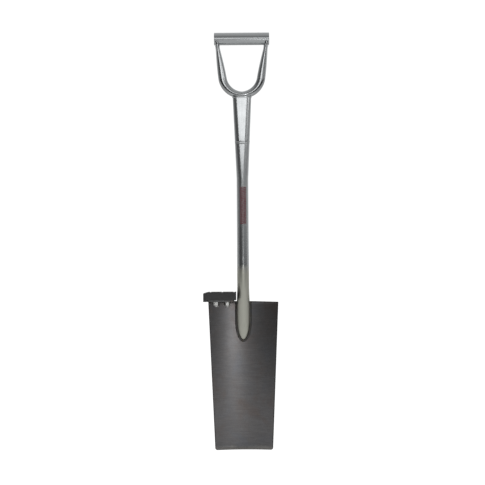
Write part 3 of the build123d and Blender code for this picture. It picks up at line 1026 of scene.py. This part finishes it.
class SPADE_OT_welds(bpy.types.Operator):
    """Lay the weld beads"""

    bl_idname = "spade.welds"
    bl_label = "Welds"

    def execute(self, context):
        settings = context.scene.spade_weld
        self.tongue_bead(settings)
        self.grip_collars()
        self.yoke_bead(settings)
        self.seam(context.scene.spade_tube)
        self.tread_beads(settings)
        return {"FINISHED"}

    def tongue_bead(self, settings):
        middle_z = TIP_Z + SCARF_LENGTH / 2
        half_width = OVAL_HALF[0] + 1.5 * MM
        half_length = SCARF_LENGTH / 2 + 1.5 * MM
        top_z = BLADE_TOP_Z - 1.5 * MM
        count = 480
        flat = []
        for height in even_steps(top_z, middle_z, count // 4):
            flat.append((-half_width, height))
        for turn in even_steps(math.pi, 2 * math.pi, count // 2)[1:-1]:
            flat.append(
                (half_width * math.cos(turn), middle_z + half_length * math.sin(turn))
            )
        for height in even_steps(middle_z, top_z, count // 4):
            flat.append((half_width, height))
        path = [Vector((x, dish_y(x) - 1.0 * MM, z)) for x, z in flat]
        count = len(path) - 1
        triples = []
        for i, point in enumerate(path):
            ahead = path[min(i + 1, count)] - path[max(i - 1, 0)]
            along = ahead.normalized()
            outward = along.cross(FORWARD).normalized()
            triples.append((point, outward, along))
        rings = bead_rings(triples, 3.0 * MM, 2.6 * MM, settings)
        piece = add_piece(
            "tongue_bead", skin("tongue_bead", rings), ["tongue_weld"]
        )
        give([piece], weld_metal())

    def grip_collars(self):
        rows = 14
        inset = 0.3 * MM
        for side, node in ((-1, "left_grip_weld"), (1, "right_grip_weld")):
            name = node.replace("weld", "collar")
            rings = []
            for row in range(rows + 1):
                part = row / rows
                z = (-21 + 12 * part) * MM
                grow = (0.1 + 3.4 * part**3) * MM
                width, depth = arm_half(z)
                points = []
                for step in range(TUBE_SIDES):
                    x, y = section_point(
                        2 * math.pi * step / TUBE_SIDES, width + grow, depth + grow * 0.4
                    )
                    centre = Vector((side * arm_x(z), 0, z))
                    point = centre + Vector((x, y, 0))
                    point.x = min(point.x, GRIP_HIGH.x - inset)
                    point.x = max(point.x, GRIP_LOW.x + inset)
                    limit = GRIP_RADIUS - inset
                    ceiling = -math.sqrt(max(limit**2 - point.y**2, 0.0))
                    point.z = ceiling if row == rows else min(point.z, ceiling)
                    points.append(point)
                rings.append(points)
            inner = []
            for points in (rings[-1], rings[0]):
                centre = sum(points, Vector()) / len(points)
                inner.append([centre + (point - centre) * 0.8 for point in points])
            mesh = skin(name, rings + inner, loop=True)
            piece = add_piece(name, mesh, [node])
            give([piece], tube_steel())

    def yoke_bead(self, settings):
        outer = YOKE_RADIUS + YOKE_BOTTOM[0] + 0.6 * MM
        count = 260
        points = []
        for step in range(count):
            turn = 2 * math.pi * step / count
            width, depth, power = taper_half(YOKE_LOW.z)
            x, y = section_point(turn, width - 0.3 * MM, depth - 0.6 * MM, power)
            under = YOKE_CENTRE_Z - math.sqrt(outer**2 - x * x)
            front = YOKE_LOW.z + 4.2 * MM
            part = abs(y / depth) ** 3
            points.append(Vector((x, y, under + (front - under) * part)))
        triples = []
        for i, point in enumerate(points):
            along = (points[(i + 1) % count] - points[i - 1]).normalized()
            outward = Vector((point.x, point.y, 0)).normalized()
            outward = (outward - along * outward.dot(along)).normalized()
            triples.append((point, outward, along))
        rings = bead_rings(triples, 1.7 * MM, 3.2 * MM, settings, dressed=True)
        mesh = skin("yoke_bead", rings, loop=True)
        piece = add_piece("yoke_bead", mesh, ["yoke_weld"])
        give([piece], tube_steel())

    def seam(self, tube):
        rings = []
        profile = ((-1.5, 0.1), (-0.8, 0.7), (0.0, 1.0), (0.8, 0.7), (1.5, 0.1))
        for offset, part in profile:
            rings.append(taper_ring(SEAM_Z + offset * MM, grow=tube.seam_proud * part))
        for offset in (1.2, -1.2):
            rings.append(taper_ring(SEAM_Z + offset * MM, grow=-1.0 * MM))
        mesh = skin("seam_ring", rings, loop=True)
        piece = add_piece("seam_ring", mesh, ["socket_weld"])
        give([piece], tube_steel())

    def tread_beads(self, settings):
        for name, radius, sign in (
            ("tread_bead_front", DISH_RADIUS, -1),
            ("tread_bead_back", DISH_RADIUS + BLADE_THICKNESS, 1),
        ):
            triples = []
            count = 160
            low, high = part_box("tread_welds")
            for step in range(count + 1):
                x = low.x + 2 * MM + (high.x - low.x - 4 * MM) * step / count
                reach = radius + sign * 0.9 * MM
                y = BLADE_FACE_Y - DISH_RADIUS + math.sqrt(reach**2 - x * x)
                point = Vector((x, y, BLADE_TOP_Z - 1.2 * MM))
                away = Vector((x, y - BLADE_FACE_Y + DISH_RADIUS, 0)).normalized()
                along = UP.cross(away).normalized() * -1
                triples.append((point, away * sign, along * sign))
            rings = bead_rings(triples, 2.4 * MM, 2.4 * MM, settings)
            replaces = ["tread_welds"] if sign < 0 else []
            piece = add_piece(name, skin(name, rings), replaces)
            give([piece], weld_metal())


class SPADE_OT_tread(bpy.types.Operator):
    """Finish the tread plate and mould the rubber foot cushion"""

    bl_idname = "spade.tread"
    bl_label = "Tread and Cushion"

    def execute(self, context):
        settings = context.scene.spade_tread
        mesh = softened_copy("tread_plate", 0.5 * MM)
        plate = add_piece("tread", mesh, ["tread_plate"])
        give([plate], plate_material(settings))
        mesh = softened_copy("foot_cushion", settings.rubber_round, 3)
        cushion = add_piece("rubber_cushion", mesh, ["foot_cushion"])
        give([cushion], rubber_material(settings))
        return {"FINISHED"}


class SPADE_OT_fasteners(bpy.types.Operator):
    """Finish the bolts, washers, nuts and their nylon rings"""

    bl_idname = "spade.fasteners"
    bl_label = "Fasteners"

    def execute(self, context):
        settings = context.scene.spade_tread
        zinc = zinc_material(settings)
        nodes = cad("cushion_bolts", "cushion_washers", "tread_washers", "lock_nuts")
        give(nodes, zinc)
        give(cad("nut_inserts"), nylon_material())
        return {"FINISHED"}


class SPADE_OT_decal(bpy.types.Operator):
    """Print a plain pattern on the shaft's film"""

    bl_idname = "spade.decal"
    bl_label = "Shaft Print"

    def execute(self, context):
        scene = context.scene
        give(cad("shaft_decal"), print_material(scene.spade_tube, scene.spade_tread))
        return {"FINISHED"}


class SPADE_OT_stage(bpy.types.Operator):
    """Add the floor, the lights, the room and the camera"""

    bl_idname = "spade.stage"
    bl_label = "Stage"

    def execute(self, context):
        settings = context.scene.spade_stage
        self.floor()
        self.room(context.scene)
        self.lights(settings)
        self.camera(context.scene, settings)
        return {"FINISHED"}

    def floor(self):
        size = 40.0
        mesh = bpy.data.meshes.new("floor")
        corners = [(-size, -size), (size, -size), (size, size), (-size, size)]
        mesh.from_pydata([(x, y, EDGE_Z) for x, y in corners], [], [(0, 1, 2, 3)])
        floor = bpy.data.objects.new("floor", mesh)
        bpy.context.scene.collection.objects.link(floor)
        material, tree, shader, place = start_material("pale_floor")
        shader.inputs["Roughness"].default_value = 0.9
        shader.inputs["Specular IOR Level"].default_value = 0.1
        # Painted light: the floor glows in a pool in front and to the right, and faintly
        # close round the spade, to brighten what the steel reflects.
        squeezed = new_node(
            tree,
            "ShaderNodeVectorMath",
            {0: place, 1: (1.7, 1.0, 1.0)},
            operation="MULTIPLY",
        )
        centre = distance_to(tree, squeezed.outputs[0], (0.46, -1.9, EDGE_Z))
        painted_light_pool = new_node(
            tree,
            "ShaderNodeMapRange",
            {"Value": centre, "From Min": 0.95, "From Max": 0.1},
            interpolation_type="SMOOTHSTEP",
        )
        painted_floor_glow = arithmetic(tree, "MULTIPLY", painted_light_pool.outputs["Result"], 0.62)
        near = distance_to(tree, place, (0.0, -0.3, EDGE_Z))
        # Painted shade: the floor's colour turns dark far off to both sides in front,
        # darkening what the steel reflects there.
        parts = split(tree, place)
        aside = arithmetic(tree, "ABSOLUTE", parts["X"], 0.0)
        aside = map_range(tree, aside, 0.22, 0.62)
        far = map_range(tree, parts["Y"], -1.0, -1.8)
        far = arithmetic(tree, "MULTIPLY", far, aside)
        floor_tone_with_painted_shade = mix_color(tree, far, (0.82, 0.82, 0.82), (0.05, 0.05, 0.05))
        tree.links.new(floor_tone_with_painted_shade, shader.inputs["Base Color"])
        painted_near_glow = map_range(tree, near, 1.1, 0.3, 0.0, 0.22)
        painted_floor_glow = arithmetic(tree, "ADD", painted_floor_glow, painted_near_glow)
        shader.inputs["Emission Color"].default_value = (1, 1, 1, 1)
        tree.links.new(painted_floor_glow, shader.inputs["Emission Strength"])
        glow = new_node(tree, "ShaderNodeEmission", {"Strength": 1.27})
        path = new_node(tree, "ShaderNodeLightPath")
        share = arithmetic(tree, "MULTIPLY", path.outputs["Is Camera Ray"], 0.8)
        blend = new_node(
            tree,
            "ShaderNodeMixShader",
            {0: share, 1: shader.outputs[0], 2: glow.outputs[0]},
        )
        output = tree.nodes["Material Output"]
        tree.links.new(blend.outputs[0], output.inputs["Surface"])
        give([floor], material)

    def room(self, scene):
        """Room that is dim in front, darkest to the left and white behind."""
        world = bpy.data.worlds.new("studio")
        world.use_nodes = True
        scene.world = world
        tree = world.node_tree
        back = tree.nodes["Background"]
        back.inputs["Color"].default_value = (1, 1, 1, 1)
        direction = new_node(tree, "ShaderNodeTexCoord").outputs["Generated"]
        parts = split(tree, direction)
        across = map_range(tree, parts["X"], -1.0, 1.0)
        ramp = new_node(tree, "ShaderNodeValToRGB", {"Fac": across})
        stops = ramp.color_ramp.elements
        stops[0].position, stops[1].position = 0.0, 1.0
        for place, grey in FRONT_WALL:
            if place in (0.0, 1.0):
                stop = stops[0] if place == 0.0 else stops[len(stops) - 1]
            else:
                stop = stops.new(place)
            stop.color = (grey, grey, grey, 1)
        upward = map_range(tree, parts["Z"], 0.55, 1.0, 0.0, 1.0)
        front = mix_color(tree, upward, ramp.outputs["Color"], (0.54, 0.54, 0.54))
        low = map_range(tree, parts["Z"], -0.02, -0.1, 0.0, 0.4)
        front = mix_color(tree, low, front, (0.0, 0.0, 0.0))
        behind = map_range(tree, parts["Y"], 0.15, 0.95, 0.0, 1.0)
        room = mix_color(tree, behind, front, (1.0, 1.0, 1.0))
        path = new_node(tree, "ShaderNodeLightPath")
        seen = mix_color(tree, path.outputs["Is Camera Ray"], room, (1.05, 1.05, 1.05))
        tree.links.new(seen, back.inputs["Color"])

    def lights(self, settings):
        key, strip = settings.key_strength, settings.strip_strength
        for name, x, height, size, strength in (
            ("low_key", 0.42, 0.12, (0.36, 0.2), key),
            ("strip", -0.15, 1.24, (1.95, 0.56), strip),
            ("side", 2.6, 1.75, (2.0, 1.0), strip * 0.7),
        ):
            data = bpy.data.lights.new(name, "AREA")
            data.shape = "RECTANGLE"
            data.size, data.size_y = size
            data.energy = strength * size[0] * size[1] * 4
            lamp = bpy.data.objects.new(name, data)
            bpy.context.scene.collection.objects.link(lamp)
            lamp.location = (x, LIGHTS_Y, EDGE_Z + height)
            lamp.rotation_euler = (math.radians(90), 0, 0)

    def camera(self, scene, settings):
        data = bpy.data.cameras.new("camera")
        data.sensor_width = 36.0
        reach = settings.distance + BLADE_FACE_Y
        data.lens = data.sensor_width * reach / settings.framed_height
        camera = bpy.data.objects.new("camera", data)
        scene.collection.objects.link(camera)
        camera.location = (-1.0 * MM, -settings.distance, EDGE_Z + settings.eye_height)
        turn = Matrix.Rotation(math.radians(90), 4, "X")
        roll = Matrix.Rotation(settings.roll, 4, "Z")
        camera.rotation_euler = (turn @ roll).to_euler()
        scene.camera = camera
        scene.view_settings.view_transform = "Standard"


class SPADE_PT_panel(bpy.types.Panel):
    """Lists the spade's pieces and their settings"""

    bl_idname = "SPADE_PT_panel"
    bl_label = "Nursery Spade"
    bl_space_type = "VIEW_3D"
    bl_region_type = "UI"
    bl_category = "Spade"

    def draw(self, context):
        layout = self.layout
        for operator in OPERATORS:
            layout.operator(operator.bl_idname)
        for name in SETTINGS:
            box = layout.box()
            group = getattr(context.scene, name)
            for key in type(group).__annotations__:
                box.prop(group, key)


OPERATORS = (
    SPADE_OT_stage,
    SPADE_OT_blade,
    SPADE_OT_tubes,
    SPADE_OT_grip,
    SPADE_OT_welds,
    SPADE_OT_tread,
    SPADE_OT_fasteners,
    SPADE_OT_decal,
)
SETTINGS = {
    "spade_tube": SpadeTubeSettings,
    "spade_blade": SpadeBladeSettings,
    "spade_weld": SpadeWeldSettings,
    "spade_tread": SpadeTreadSettings,
    "spade_stage": SpadeStageSettings,
}


def register():
    for group in SETTINGS.values():
        bpy.utils.register_class(group)
    for operator in OPERATORS:
        bpy.utils.register_class(operator)
    bpy.utils.register_class(SPADE_PT_panel)
    for name, group in SETTINGS.items():
        setattr(bpy.types.Scene, name, PointerProperty(type=group))


def unregister():
    for name in SETTINGS:
        delattr(bpy.types.Scene, name)
    bpy.utils.unregister_class(SPADE_PT_panel)
    for operator in reversed(OPERATORS):
        bpy.utils.unregister_class(operator)
    for group in SETTINGS.values():
        bpy.utils.unregister_class(group)


def main():
    register()
    build_smudge_group()
    build_lines_group()
    build_scale_group()
    for operator in OPERATORS:
        group, name = operator.bl_idname.split(".")
        getattr(getattr(bpy.ops, group), name)()
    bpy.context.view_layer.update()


if __name__ == "__main__":
    main()
